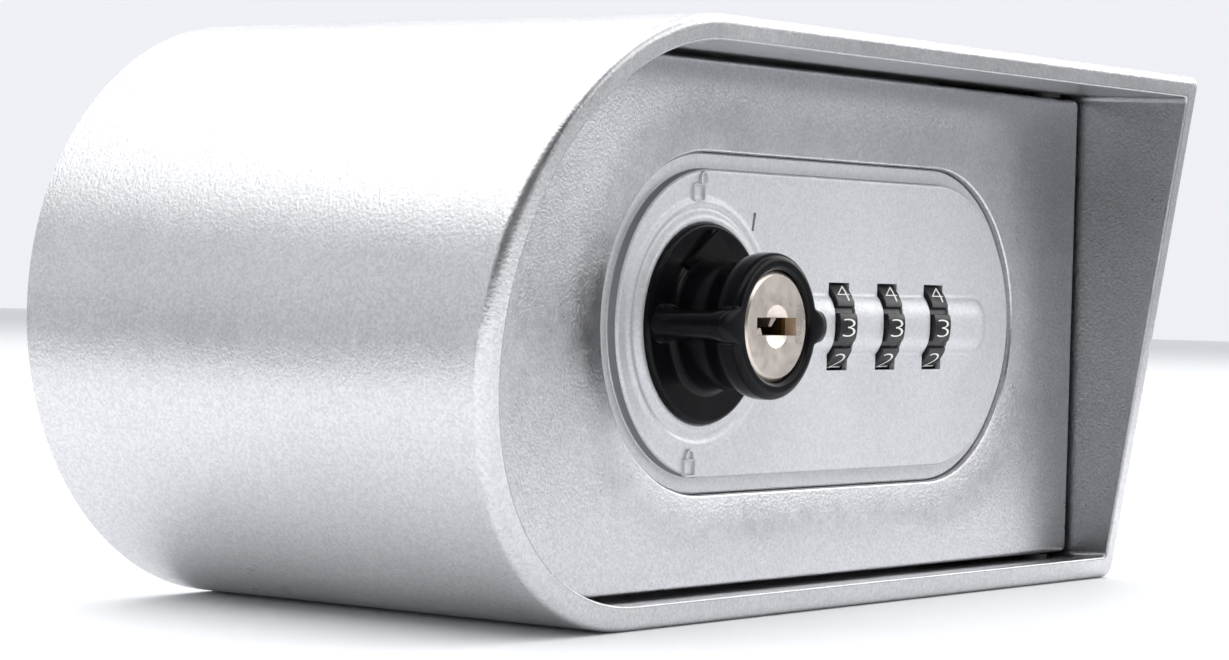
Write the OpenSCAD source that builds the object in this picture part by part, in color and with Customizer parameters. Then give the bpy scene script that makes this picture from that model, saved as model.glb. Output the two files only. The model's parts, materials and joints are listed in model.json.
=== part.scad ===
// Key lock box: a D-shaped cast box with a rain hood, a hinged door, a three-wheel
// combination lock and a turn knob with a key override.
// Shapes are drawn in door coordinates: x runs right from the left side of the box,
// y runs back from the face of the door, z runs up from the underside.

/* [Box] */
// Width of the box
body_w = 170; // [165:1:190]
// Height of the box, which is also the diameter of its round left side
body_h = 80; // [80:1:84]
// Depth of the box behind the door's face
box_depth = 65.5; // [60:0.5:90]
// Thickness of the cast walls
wall = 3; // [2.5:0.1:3.2]
// How far the hood stands in front of the door at the top
hood_top = 20; // [17:0.5:26]
// How far the rim stands in front of the door at the bottom
hood_low = 6.8; // [5:0.1:10]
// Outer radius of the two right corners
corner_r = 2; // [1:0.1:3]

/* [Door] */
// Gap between the door and the box
door_gap = 0.9; // [0.8:0.05:1.2]
// Thickness of the door
door_t = 6; // [6:0.1:7]
// Distance from the door's right edge to the hinge axis
hinge_inset = 6; // [5.5:0.1:7]
// Diameter of the hinge pin
hinge_pin_d = 3; // [2:0.1:3]

/* [Lock panel] */
// Height of the recess that the lock panel sits in
recess_h = 47; // [45:0.5:48]
// Height of the panel's raised face
face_h = 42.2; // [40:0.1:43]
// Centre of the panel's left round end
panel_left = 64.5; // [62:0.5:66]
// Centre of the panel's right round end
panel_right = 124.3; // [122:0.1:126]
// Height of the raised bar that the wheel windows pass through
bar_h = 7.7; // [6:0.1:9]
// Rise of the bar above the panel's face
bar_rise = 1.3; // [0.6:0.1:1.5]

/* [Dial wheels] */
// Place of the first wheel from the left side of the box
first_wheel = 96.9; // [96:0.1:97.2]
// Distance from one wheel to the next
wheel_pitch = 13; // [13:0.1:13.4]
// Radius of a wheel over its digit pads
wheel_r = 8.4; // [8:0.1:8.4]
// Width of a wheel
wheel_w = 4.8; // [4.4:0.1:5]
// Number of digit pads on a wheel
digits = 10; // [10:1:10]
// How far the digit pads stand in front of the door's face
wheel_crest = 2.3; // [2:0.1:2.4]

/* [Knob] */
// Place of the knob's axis from the left side of the box
knob_x = 62.5; // [62:0.1:63]
// Radius of the knob's base flange
flange_r = 13.75; // [13:0.05:14]
// Radius of the knob's front ring
ring_r = 9.9; // [9.5:0.1:10.5]
// How far the knob stands in front of the door's face
knob_reach = 13.1; // [12:0.1:14]
// Radius of the key plug's face
plug_r = 7.5; // [7:0.1:7.6]
// Length of the keyway
keyway_l = 9.4; // [8:0.1:9.6]
// Width of the keyway
keyway_w = 2.4; // [2:0.1:2.6]
// Radius of the crank that drives the bolt
crank_r = 2.25; // [2:0.05:2.3]

/* [Wall mounting] */
// Distance between the mounting holes along the box
mount_x = 100; // [90:1:104]
// Distance between the mounting holes up the box
mount_z = 40; // [30:1:44]
// Diameter of a mounting hole
mount_d = 5.5; // [4.5:0.1:6.5]

/* [Hidden] */
$fn = 64;
tiny = 0.01;
run_fit = 0.05;

mid_z = body_h / 2;
door_y = hood_top - (box_depth + hood_top) / 2;
door_inset = wall + door_gap;
hinge_x = body_w - door_inset - hinge_inset;
hinge_y = door_t / 2;

ledge_w = 4.5;
ledge_front = 7.5;
ledge_t = 2.5;
ledge_end = 135;
seal_w = 3;
seal_t = 1.2;

strike_y = 20;
strike_t = 2.5;
strike_w = 6;
strike_h = 20;
strike_screw_z = 7.4;

plate_t = 3;
plate_y = box_depth - 0.5 - plate_t;
boss_w = 9;
boss_h = 9;
boss_l = 12;
boss_x = [42, 148];
boss_z = 7.2;

mat_t = 1.5;
rail_z = 64;
rail_h = 8;
rail_t = 1.8;
rail_w = 70;
hook_x = [60, 85, 110];
hook_l = 13;
hook_r = 1.5;

flange_y = 1.4;
panel_back = 3;
face_y = -0.3;
pocket_front = 0.6;
window_w = 5.4;
window_h = 12.6;
bar_end = 138.2;
hub_r = 8;
hub_back = 9;
collar_r = 15.9;
collar_w = 1;
mark_depth = 0.25;

wheel_y = wheel_r - wheel_crest;
wheel_x = [for (i = [0:2]) first_wheel + i * wheel_pitch];
axle_r = 1.5;
disc_r = 5.2;
disc_hub_r = 2.6;
wheel_clear = 0.35;
disc_t = 1.6;
disc_off = wheel_w / 2 + 2;
rib_off = disc_off + disc_t + 1.2;
rib_t = 1.5;
rib_back = 9.4;
gate_w = 2.9;
gate_depth = 1.7;

housing_front = panel_back + 0.2;
housing_back = 18;
housing_r = 19.7;
housing_wall = 1.5;
housing_flange_r = 24;
flange_t = 2;
cover_t = 2;
cover_y = housing_back + cover_t;
cover_screw = [[panel_left + 4, 16.5], [panel_right - 4, 16.5]];
clamp_screw = [[panel_left, 21.6], [panel_right, 21.6]];

spindle_r = 5;
crank_y = cover_y + 0.3;
crank_t = 2;
crank_disc_r = 6;
crank_floor = 0.5;
stub_r = 3;
pin_r = 1.5;
bolt_y = crank_y + crank_t + 0.5;
bolt_t = 2.5;
bolt_h = 12;
bolt_tip = 10.3;
bolt_end = 84;
lead = 0.21 * crank_r + 0.35;
lag = 0.8 * crank_r + 0.35;
guide_x = [50, 74.5];
guide_w = 5;
guide_h = 21;
guide_t = 1.5;

comb_y = 15;
comb_t = 1.8;
comb_h = 3;
tooth_t = 1;
tooth_h = 2;
tooth_off = disc_off + disc_t + 1.5;
tooth_front = 10;
arm_x = 80;
arm_w = 4;
slot_back = 5;
slot_front = 1.6;

// --- places and directions -------------------------------------------------------

module in_place() {
    translate([-body_w / 2, door_y, 0]) children();
}

// Extrudes an outline drawn in x and z from one depth to another.
module run_y(from, to) {
    translate([0, to, 0]) rotate([90, 0, 0]) linear_extrude(to - from) children();
}

// Extrudes an outline drawn in y and z from one x to another.
module run_x(from, to) {
    translate([from, 0, 0]) rotate([90, 0, 90]) linear_extrude(to - from) children();
}

module rod_y(x, z, r, from, to) {
    translate([x, to, z]) rotate([90, 0, 0]) cylinder(r = r, h = to - from);
}

module rod_x(y, z, r, from, to) {
    translate([from, y, z]) rotate([0, 90, 0]) cylinder(r = r, h = to - from);
}

module tube_y(x, z, r_out, r_in, from, to) {
    difference() {
        rod_y(x, z, r_out, from, to);
        rod_y(x, z, r_in, from - 1, to + 1);
    }
}

module block(x0, x1, y0, y1, z0, z1) {
    translate([x0, y0, z0]) cube([x1 - x0, y1 - y0, z1 - z0]);
}

// Turns an outline of radius and forward reach about the knob's axis.
module turn_at_knob() {
    translate([knob_x, 0, mid_z]) rotate([90, 0, 0]) rotate_extrude() children();
}

// A pan head screw along y with its head at the back, and its driver recess.
module screw_from_back(x, z, r, tip, seat) {
    head_r = r * 1.9;
    head_t = r * 1.1;
    difference() {
        union() {
            rod_y(x, z, r, tip, seat);
            rod_y(x, z, head_r, seat, seat + head_t);
        }
        rod_y(x, z, r * 0.7, seat + head_t * 0.4, seat + head_t + 1);
    }
}

// --- outlines --------------------------------------------------------------------

// The box's outline, moved in by an inset: round on the left, square on the right.
module d_outline(inset, r) {
    right = body_w - inset;
    translate([mid_z, mid_z]) circle(mid_z - inset);
    translate([mid_z, inset]) square([right - mid_z - r, body_h - 2 * inset]);
    translate([right - r - tiny, inset + r]) square([r + tiny, body_h - 2 * (inset + r)]);
    for (z = [inset + r, body_h - inset - r])
        translate([right - r, z]) circle(r);
}

module stadium(r) {
    for (x = [panel_left, panel_right])
        translate([x, mid_z]) circle(r);
    translate([panel_left, mid_z - r]) square([panel_right - panel_left, 2 * r]);
}

// --- the box ---------------------------------------------------------------------

module shell() color("lightgray") in_place() difference() {
    run_y(-hood_top, box_depth) d_outline(0, corner_r);
    run_y(-hood_top - 1, box_depth + 1) d_outline(wall, 1);
    run_x(-1, body_w + 1)
        polygon([[-hood_low, 0], [-hood_top, body_h], [-2 * hood_top, body_h + 1],
                 [-2 * hood_top, -1], [-hood_low, -1]]);
    hinge_pin_holes();
}

// The holes for the hinge pin: through the floor and part way into the hood's roof.
module hinge_pin_holes() {
    translate([hinge_x, hinge_y, -1]) cylinder(r = hinge_pin_d / 2, h = wall + 2);
    translate([hinge_x, hinge_y, body_h - wall - 1]) cylinder(r = hinge_pin_d / 2, h = wall);
}

// The frame inside the walls that the door closes against, with the strike's block.
module door_stop() color("darkgray") in_place() {
    difference() {
        run_y(ledge_front, ledge_front + ledge_t) d_outline(wall, 1);
        run_y(ledge_front - 1, ledge_front + ledge_t + 1) d_outline(wall + ledge_w, 1);
        block(ledge_end, body_w, 0, 20, 0, body_h);
    }
    difference() {
        intersection() {
            block(wall - 1, wall + strike_w - 1, ledge_front + ledge_t - tiny, strike_y,
                  mid_z - strike_h / 2, mid_z + strike_h / 2);
            run_y(0, strike_y + 1) d_outline(wall, 1);
        }
        for (s = [-1, 1])
            rod_y(strike_w, mid_z + s * strike_screw_z, 1, strike_y - 6, strike_y + 1);
    }
}

// Four posts inside the walls that the back plate is screwed to.
module plate_posts() color("darkgray") in_place() {
    for (x = boss_x, top = [0, 1]) difference() {
        z0 = top ? body_h - wall - boss_h : wall;
        block(x - boss_w / 2, x + boss_w / 2, plate_y - boss_l, plate_y, z0, z0 + boss_h);
        rod_y(x, top ? body_h - boss_z : boss_z, 1.25, plate_y - 8, plate_y + 1);
    }
}

module back_plate() color("silver") in_place() difference() {
    run_y(plate_y, plate_y + plate_t) d_outline(wall + 0.15, 1);
    for (sx = [-1, 1], sz = [-1, 1])
        rod_y(body_w / 2 + sx * mount_x / 2, mid_z + sz * mount_z / 2, mount_d / 2,
              plate_y - 1, plate_y + plate_t + 1);
    for (x = boss_x, z = [boss_z, body_h - boss_z]) {
        rod_y(x, z, 1.5, plate_y - 1, plate_y + plate_t + 1);
        rod_y(x, z, 2.9, plate_y + 1.4, plate_y + plate_t + 1);
    }
    for (s = [-1, 1])
        rod_y(body_w / 2 + s * rail_w * 0.43, rail_z, 0.9, plate_y - 1, plate_y + 2.2);
}

module back_plate_screws() color("gray") in_place() {
    for (x = boss_x, z = [boss_z, body_h - boss_z])
        screw_from_back(x, z, 1.2, plate_y - 7, plate_y + 1.4);
}

module strike_plate() color("silver") in_place() difference() {
    intersection() {
        block(wall - 1, wall + strike_w, strike_y, strike_y + strike_t,
              mid_z - strike_h / 2, mid_z + strike_h / 2);
        run_y(0, strike_y + strike_t + 1) d_outline(wall + 0.05, 1);
    }
    for (s = [-1, 1]) {
        rod_y(strike_w, mid_z + s * strike_screw_z, 1.1, strike_y - 1, strike_y + strike_t + 1);
        rod_y(strike_w, mid_z + s * strike_screw_z, 1.95, strike_y + 1.2,
              strike_y + strike_t + 1);
    }
}

module strike_screws() color("gray") in_place() {
    for (s = [-1, 1])
        screw_from_back(strike_w, mid_z + s * strike_screw_z, 0.95, strike_y - 5,
                        strike_y + 1.2);
}

module door_seal() color("dimgray") in_place() difference() {
    run_y(ledge_front - seal_t, ledge_front) d_outline(wall + 1, 1);
    run_y(ledge_front - seal_t - 1, ledge_front + 1) d_outline(wall + 1 + seal_w, 1);
    block(ledge_end, body_w, 0, 20, 0, body_h);
}

module floor_mat() color("dimgray") in_place() {
    block(mid_z + 8, body_w - wall - 6, 29, plate_y - boss_l - 1, wall, wall + mat_t);
}

module key_hook_rail() color("silver") in_place() difference() {
    block(body_w / 2 - rail_w / 2, body_w / 2 + rail_w / 2, plate_y - rail_t, plate_y,
          rail_z - rail_h / 2, rail_z + rail_h / 2);
    for (s = [-1, 1])
        rod_y(body_w / 2 + s * rail_w * 0.43, rail_z, 1, plate_y - rail_t - 1, plate_y + 1);
}

module key_hooks() color("silver") in_place() {
    for (x = hook_x) {
        rod_y(x, rail_z, hook_r, plate_y - rail_t - hook_l, plate_y - rail_t);
        translate([x, plate_y - rail_t - hook_l, rail_z]) sphere(hook_r);
        translate([x, plate_y - rail_t - hook_l, rail_z]) cylinder(r = hook_r, h = 4);
    }
}

module hook_rail_screws() color("gray") in_place() {
    for (s = [-1, 1])
        translate([body_w / 2 + s * rail_w * 0.43, plate_y - rail_t, rail_z]) {
            rotate([-90, 0, 0]) cylinder(r = 0.85, h = 3.6);
            rotate([90, 0, 0]) cylinder(r = 2, h = 1.2);
        }
}

module hinge_pin() color("silver") in_place() {
    translate([hinge_x, hinge_y, 0.3]) cylinder(r = hinge_pin_d / 2, h = body_h - 1.5);
}

module hinge_washers() color("ivory") in_place() {
    for (z = [wall, body_h - wall - door_gap + 0.2])
        translate([hinge_x, hinge_y, z]) difference() {
            cylinder(r = 2.8, h = door_gap - 0.2);
            translate([0, 0, -1]) cylinder(r = hinge_pin_d / 2 + run_fit, h = 3);
        }
}

// --- the door and what is fixed to it --------------------------------------------

module door() color("gainsboro") in_place() difference() {
    run_y(0, door_t) d_outline(door_inset, 1);
    run_y(-1, panel_back) stadium(recess_h / 2);
    run_y(-1, door_t + 1) stadium(housing_r + 0.3);
    translate([hinge_x, hinge_y, 0]) cylinder(r = hinge_pin_d / 2 + run_fit, h = body_h);
    for (c = clamp_screw, s = [-1, 1])
        rod_y(c[0], mid_z + s * c[1], 1.4, 0, door_t + 1);
}

// A small engraved padlock: a body and a shackle, which is closed or swung open.
module padlock_mark(x, z, open) {
    run_y(face_y - 1, face_y + mark_depth) {
        translate([x - 1.2, z - 1.6]) square([2.4, 2]);
        translate([x + (open ? 1.2 : 0), z + 0.5]) difference() {
            circle(1);
            circle(0.6);
            translate([-2, -4]) square([4, 4]);
        }
    }
}

module lock_panel() color("gainsboro") in_place() difference() {
    union() {
        run_y(flange_y, panel_back) stadium(recess_h / 2 - 0.15);
        run_y(face_y, flange_y + tiny) stadium(face_h / 2);
        panel_bar();
        rod_y(knob_x, mid_z, hub_r, panel_back - tiny, hub_back);
    }
    for (x = wheel_x)
        block(x - window_w / 2, x + window_w / 2, -5, panel_back + 1,
              mid_z - window_h / 2, mid_z + window_h / 2);
    block(wheel_x[0] - 3.6, wheel_x[2] + disc_off + disc_t + 0.6, pocket_front,
          panel_back + 1, mid_z - 9, mid_z + 9);
    for (x = wheel_x) {
        rod_x(wheel_y, mid_z, wheel_r + wheel_clear, x - window_w / 2, x + window_w / 2);
        rod_x(wheel_y, mid_z, disc_r + wheel_clear, x, x + disc_off + disc_t + wheel_clear);
    }
    rod_y(knob_x, mid_z, spindle_r + run_fit, -5, hub_back + 1);
    tube_y(knob_x, mid_z, collar_r + collar_w / 2, collar_r - collar_w / 2,
           -5, face_y + mark_depth);
    for (c = clamp_screw, s = [-1, 1])
        rod_y(c[0], mid_z + s * c[1], 0.9, flange_y + 0.4, panel_back + 1);
    padlock_mark(knob_x, mid_z + 18.6, true);
    padlock_mark(knob_x, mid_z - 18.8, false);
    block(knob_x + 12.1, knob_x + 12.4, -1, face_y + mark_depth, mid_z + 13, mid_z + 15.5);
}

// The convex bar across the panel, with a round end.
module panel_bar() {
    r = (pow(bar_h / 2, 2) + pow(bar_rise, 2)) / (2 * bar_rise);
    difference() {
        intersection() {
            rod_x(face_y - bar_rise + r, mid_z, r, knob_x, bar_end);
            bar_outline();
        }
        rod_y(knob_x, mid_z, flange_r + 0.5, face_y - bar_rise - 1, face_y);
    }
}

module bar_outline() {
    run_y(face_y - bar_rise - 1, flange_y) {
        translate([knob_x, mid_z - bar_h / 2]) square([bar_end - knob_x - bar_h / 2, bar_h]);
        translate([bar_end - bar_h / 2, mid_z]) circle(bar_h / 2);
    }
}

module lock_housing() color("darkgray") in_place() difference() {
    union() {
        run_y(door_t, door_t + flange_t) stadium(housing_flange_r);
        run_y(housing_front, housing_back) stadium(housing_r);
    }
    difference() {
        run_y(housing_front - 1, housing_back + 1) stadium(housing_r - housing_wall);
        for (c = cover_screw, s = [-1, 1])
            rod_y(c[0], mid_z + s * c[1], 2.2, housing_back - 8, housing_back);
        axle_ribs();
    }
    rod_x(wheel_y, mid_z, axle_r, wheel_x[0] - 20, wheel_x[2] + 20);
    for (c = cover_screw, s = [-1, 1])
        rod_y(c[0], mid_z + s * c[1], 0.9, housing_back - 7, housing_back + 1);
    for (c = clamp_screw, s = [-1, 1])
        rod_y(c[0], mid_z + s * c[1], 1.25, door_t - 1, door_t + flange_t + 1);
}

// The cross walls that carry the wheel axle.
module axle_ribs() {
    for (x = concat([wheel_x[0] - wheel_w / 2 - 2.2], [for (w = wheel_x) w + rib_off]))
        block(x, x + rib_t, panel_back + 0.2, rib_back, mid_z - housing_r, mid_z + housing_r);
}

module housing_screws() color("gray") in_place() {
    for (c = clamp_screw, s = [-1, 1])
        screw_from_back(c[0], mid_z + s * c[1], 0.85, flange_y + 0.6, door_t + flange_t);
}

module rear_cover() color("silver") in_place() difference() {
    run_y(housing_back, cover_y) stadium(housing_r);
    rod_y(knob_x, mid_z, spindle_r + 0.3, housing_back - 1, cover_y + 1);
    block(arm_x - slot_back, arm_x + arm_w + slot_front, housing_back - 1, cover_y + 1,
          mid_z - comb_h / 2 - 0.5, mid_z + comb_h / 2 + 0.5);
    for (c = cover_screw, s = [-1, 1])
        rod_y(c[0], mid_z + s * c[1], 1.15, housing_back - 1, cover_y + 1);
    for (x = guide_x, s = [-1, 1])
        rod_y(x, mid_z + s * guide_h / 2.5, 0.9, housing_back - 1, cover_y + 1);
    for (x = wheel_x)
        rod_y(x, mid_z + 8, 0.75, housing_back - 1, cover_y + 1);
}

module cover_screws() color("gray") in_place() {
    for (c = cover_screw, s = [-1, 1])
        screw_from_back(c[0], mid_z + s * c[1], 0.85, housing_back - 6, cover_y);
}

module wheel_axle() color("silver") in_place() {
    rod_x(wheel_y, mid_z, axle_r, wheel_x[0] - 6, wheel_x[2] + rib_off + 4);
}

// A spring steel strip inside the rear cover with one leaf behind each wheel.
module detent_spring() color("silver") in_place() {
    difference() {
        block(wheel_x[0] - 3, wheel_x[2] + 3, housing_back - 0.5, housing_back,
              mid_z + 6, mid_z + 10);
        for (x = wheel_x)
            rod_y(x, mid_z + 8, 0.75, housing_back - 2, housing_back + 1);
    }
    for (x = wheel_x)
        block(x - 1.5, x + 1.5, wheel_y + 6, housing_back - 0.5 + tiny,
              mid_z + 6.4, mid_z + 6.8);
}

module detent_rivets() color("silver") in_place() {
    for (x = wheel_x) {
        rod_y(x, mid_z + 8, 0.7, housing_back - 0.5, cover_y);
        rod_y(x, mid_z + 8, 1.1, housing_back - 1, housing_back - 0.5);
    }
}

// The two straps that hold the bolt against the back of the lock.
module bolt_guides() color("silver") in_place() {
    for (x = guide_x) difference() {
        block(x - guide_w / 2, x + guide_w / 2, cover_y, bolt_y + bolt_t + 0.3 + guide_t,
              mid_z - guide_h / 2, mid_z + guide_h / 2);
        block(x - guide_w, x + guide_w, cover_y - 1, bolt_y + bolt_t + 0.3,
              mid_z - bolt_h / 2 - 0.3, mid_z + bolt_h / 2 + 0.3);
        for (s = [-1, 1])
            rod_y(x, mid_z + s * guide_h / 2.5, 1, cover_y - 1, bolt_y + bolt_t + 3);
    }
}

module bolt_guide_screws() color("gray") in_place() {
    for (x = guide_x, s = [-1, 1])
        screw_from_back(x, mid_z + s * guide_h / 2.5, 0.85, housing_back + 0.3,
                        bolt_y + bolt_t + 0.3 + guide_t);
}

// --- the knob and what turns with it ---------------------------------------------

module knob() color("black") in_place() {
    wing = 13.3;
    difference() {
        union() {
            turn_at_knob() polygon([
                [0, 0.4], [flange_r, 0.4], [flange_r, 1.2], [flange_r - 0.4, 1.6],
                [9.6, 1.6], [8.9, 2.3], [8.7, 8.5], [ring_r - 0.4, 10], [ring_r, 11],
                [ring_r, knob_reach - 1], [ring_r - 0.9, knob_reach], [0, knob_reach]]);
            wings(wing);
            run_y(-2.4, -1.5)
                polygon([[knob_x, mid_z + 12.9], [knob_x + 6.6, mid_z + 6],
                         [knob_x - 6.6, mid_z + 6]]);
        }
        rod_y(knob_x, mid_z, plug_r + 0.4, -20, -1);
        rod_y(knob_x, mid_z, spindle_r, -2, 1);
    }
}

// The grip wings at three and nine o'clock, widest at the flange.
module wings(reach) {
    translate([knob_x, 0, mid_z - 1.9]) linear_extrude(3.8)
        polygon([[-reach, -1.5], [reach, -1.5], [reach - 1, -knob_reach + 0.9],
                 [1 - reach, -knob_reach + 0.9]]);
}

module plug_sleeve() color("goldenrod") in_place() {
    tube_y(knob_x, mid_z, plug_r + 0.4, 6.05, -knob_reach + 2.2, -1);
}

module knob_spindle() color("silver") in_place() {
    difference() {
        union() {
            rod_y(knob_x, mid_z, spindle_r, -1, crank_y);
            rod_y(knob_x, mid_z, stub_r, crank_y, crank_y + crank_t - crank_floor);
        }
        rod_y(knob_x, mid_z, 1.8, -2, hub_back + 5);
        tube_y(knob_x, mid_z, 7, 4.4, hub_back + 0.5, hub_back + 1.3);
    }
}

module wave_washer() color("silver") in_place() {
    tube_y(knob_x, mid_z, hub_r - 1, spindle_r + 0.1, hub_back + 0.1, hub_back + 0.5);
}

module spindle_clip() color("gray") in_place() difference() {
    tube_y(knob_x, mid_z, 6.6, 4.4, hub_back + 0.5, hub_back + 1.3);
    block(knob_x - 2, knob_x + 2, hub_back, hub_back + 2, mid_z - 8, mid_z - 3);
}

module bolt_crank() color("silver") in_place() difference() {
    union() {
        rod_y(knob_x, mid_z, crank_disc_r, crank_y, crank_y + crank_t);
        rod_y(knob_x + crank_r, mid_z, pin_r, crank_y, bolt_y + bolt_t);
    }
    rod_y(knob_x, mid_z, stub_r, crank_y - 1, crank_y + crank_t - crank_floor);
}

// --- the key plug ----------------------------------------------------------------

module key_plug() color("silver") in_place() {
    face = -knob_reach + 0.3;
    difference() {
        union() {
            turn_at_knob() polygon([[0, -face - 1.6], [plug_r, -face - 1.6],
                                    [plug_r, -face - 0.5], [plug_r - 0.5, -face], [0, -face]]);
            rod_y(knob_x, mid_z, 6, face + 1.5, -1.2);
        }
        block(knob_x - keyway_l / 2, knob_x + keyway_l / 2, face - 1, -2,
              mid_z - keyway_w / 2, mid_z + keyway_w / 2);
        turn_at_knob() polygon([[0, -face + 0.1], [2.9, -face + 0.1], [1.2, -face - 0.9],
                                [0, -face - 0.9]]);
        for (i = [0:4])
            block(knob_x - 7, knob_x + 7, wafer_y(i), wafer_y(i) + 0.9, mid_z - 2.4, mid_z + 2.4);
        rod_y(knob_x, mid_z, 1.5, -3, 0);
    }
}

function wafer_y(i) = -knob_reach + 2.9 + i * 1.6;

module plug_wafers() color("goldenrod") in_place() {
    for (i = [0:4]) difference() {
        block(knob_x - 5.6, knob_x + 5.6, wafer_y(i) + 0.05, wafer_y(i) + 0.85,
              mid_z - 2.2, mid_z + 2.2);
        block(knob_x - 4.3 + 0.3 * (i % 3), knob_x + 4 - 0.3 * (i % 2), wafer_y(i) - 1,
              wafer_y(i) + 2, mid_z - 1.4, mid_z + 1.4);
    }
}

module plug_tail() color("silver") in_place() {
    rod_y(knob_x, mid_z, 1.5, -2.5, hub_back + 3);
}

// --- the dial wheels -------------------------------------------------------------

module wheel(i) color("black") in_place() difference() {
    x = wheel_x[i];
    rod_x(wheel_y, mid_z, wheel_r, x - wheel_w / 2, x + wheel_w / 2);
    rod_x(wheel_y, mid_z, axle_r + run_fit, x - wheel_w, x + wheel_w);
    for (k = [0:digits - 1])
        translate([x, wheel_y, mid_z]) rotate([(k + 0.5) * 360 / digits, 0, 0])
            translate([-wheel_w, -wheel_r - 0.6, 0]) rotate([45, 0, 0])
                cube([2 * wheel_w, 0.9, 0.9]);
}

// A notched disc beside each wheel, which a tooth of the comb can pass only at one digit.
module code_disc(i) color("goldenrod") in_place() difference() {
    x0 = wheel_x[i] + wheel_w / 2;
    union() {
        rod_x(wheel_y, mid_z, disc_hub_r, x0, wheel_x[i] + disc_off + disc_t);
        rod_x(wheel_y, mid_z, disc_r, wheel_x[i] + disc_off, wheel_x[i] + disc_off + disc_t);
    }
    rod_x(wheel_y, mid_z, axle_r + run_fit, x0 - 1, x0 + 8);
    block(x0, x0 + 6, wheel_y + disc_r - gate_depth, wheel_y + disc_r + 1,
          mid_z - gate_w / 2, mid_z + gate_w / 2);
}

module wheel_1() wheel(0);
module wheel_2() wheel(1);
module wheel_3() wheel(2);
module code_disc_1() code_disc(0);
module code_disc_2() code_disc(1);
module code_disc_3() code_disc(2);

// --- the bolt --------------------------------------------------------------------

module lock_bolt() color("silver") in_place() difference() {
    block(bolt_tip, bolt_end, bolt_y, bolt_y + bolt_t, mid_z - bolt_h / 2,
          mid_z + bolt_h / 2);
    block(knob_x + crank_r - pin_r - lag, knob_x + crank_r + pin_r + lead, bolt_y - 1,
          bolt_y + bolt_t + 1, mid_z - crank_r - pin_r - 0.4, mid_z + crank_r + pin_r + 0.4);
    for (s = [-1, 1])
        rod_y(arm_x + arm_w / 2, mid_z + s * 0.9, 0.5, bolt_y - 1, bolt_y + bolt_t + 1);
}

// The toothed bar that follows the bolt and passes through the gates of the code discs.
module locking_comb() color("goldenrod") in_place() {
    block(arm_x, wheel_x[2] + tooth_off + tooth_t, comb_y, comb_y + comb_t,
          mid_z - comb_h / 2, mid_z + comb_h / 2);
    difference() {
        block(arm_x, arm_x + arm_w, comb_y, bolt_y, mid_z - comb_h / 2, mid_z + comb_h / 2);
        for (s = [-1, 1])
            rod_y(arm_x + arm_w / 2, mid_z + s * 0.9, 0.5, bolt_y - 2, bolt_y + 1);
    }
    for (x = wheel_x)
        block(x + tooth_off, x + tooth_off + tooth_t, tooth_front, comb_y + tiny,
              mid_z - tooth_h / 2, mid_z + tooth_h / 2);
}

module comb_rivets() color("silver") in_place() {
    for (s = [-1, 1])
        rod_y(arm_x + arm_w / 2, mid_z + s * 0.9, 0.5, bolt_y - 1.5, bolt_y + bolt_t);
}

shell();
door_stop();
plate_posts();
back_plate();
back_plate_screws();
strike_plate();
strike_screws();
door_seal();
floor_mat();
key_hook_rail();
key_hooks();
hook_rail_screws();
hinge_pin();
hinge_washers();
door();
lock_panel();
lock_housing();
housing_screws();
rear_cover();
cover_screws();
wheel_axle();
detent_spring();
detent_rivets();
bolt_guides();
bolt_guide_screws();
knob();
plug_sleeve();
knob_spindle();
wave_washer();
spindle_clip();
bolt_crank();
key_plug();
plug_wafers();
plug_tail();
wheel_1();
wheel_2();
wheel_3();
code_disc_1();
code_disc_2();
code_disc_3();
lock_bolt();
locking_comb();
comb_rivets();
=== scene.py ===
import json
import math

import bmesh
import bpy
from mathutils import Matrix, Vector


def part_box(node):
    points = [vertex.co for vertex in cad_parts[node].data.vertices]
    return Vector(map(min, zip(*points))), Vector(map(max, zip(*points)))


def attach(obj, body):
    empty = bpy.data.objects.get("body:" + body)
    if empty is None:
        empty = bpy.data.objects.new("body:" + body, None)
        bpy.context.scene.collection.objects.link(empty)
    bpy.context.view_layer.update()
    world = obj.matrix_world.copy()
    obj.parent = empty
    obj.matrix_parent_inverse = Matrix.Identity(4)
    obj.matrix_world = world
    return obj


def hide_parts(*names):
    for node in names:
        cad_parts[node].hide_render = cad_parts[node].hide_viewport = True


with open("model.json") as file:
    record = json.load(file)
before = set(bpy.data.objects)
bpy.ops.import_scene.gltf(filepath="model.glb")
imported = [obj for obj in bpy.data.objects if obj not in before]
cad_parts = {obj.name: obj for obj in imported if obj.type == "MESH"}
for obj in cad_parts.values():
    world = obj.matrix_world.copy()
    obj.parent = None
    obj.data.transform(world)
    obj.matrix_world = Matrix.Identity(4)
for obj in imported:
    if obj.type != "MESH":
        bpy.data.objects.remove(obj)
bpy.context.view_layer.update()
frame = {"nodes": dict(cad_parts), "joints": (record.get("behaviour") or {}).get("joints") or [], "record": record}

# --- sizes -----------------------------------------------------------------------
# Shapes are worked out in millimetres: x from the left side of the box, y back from
# the door's face, z up from the underside. place() puts them in the row frame.

MM = 0.001
WELD = 1e-7
SHARP = 38

shell_lo, shell_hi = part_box("shell")
door_lo, door_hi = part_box("door")
ORIGIN = Vector((shell_lo.x, door_lo.y, shell_lo.z))


def local(point):
    """A point of the row frame in the millimetres used here."""
    return (Vector(point) - ORIGIN) / MM


def node_box(node):
    lo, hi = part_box(node)
    return local(lo), local(hi)


AXES = {j["name"]: local(j["pos_m"]) for j in frame["joints"] if "pos_m" in j}
KNOB_X = AXES["knob_turn"].x
HINGE_X = AXES["door_swing"].x
HINGE_Y = AXES["door_swing"].y
WHEELS = [AXES["wheel_%d_turn" % i] for i in (1, 2, 3)]

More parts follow.
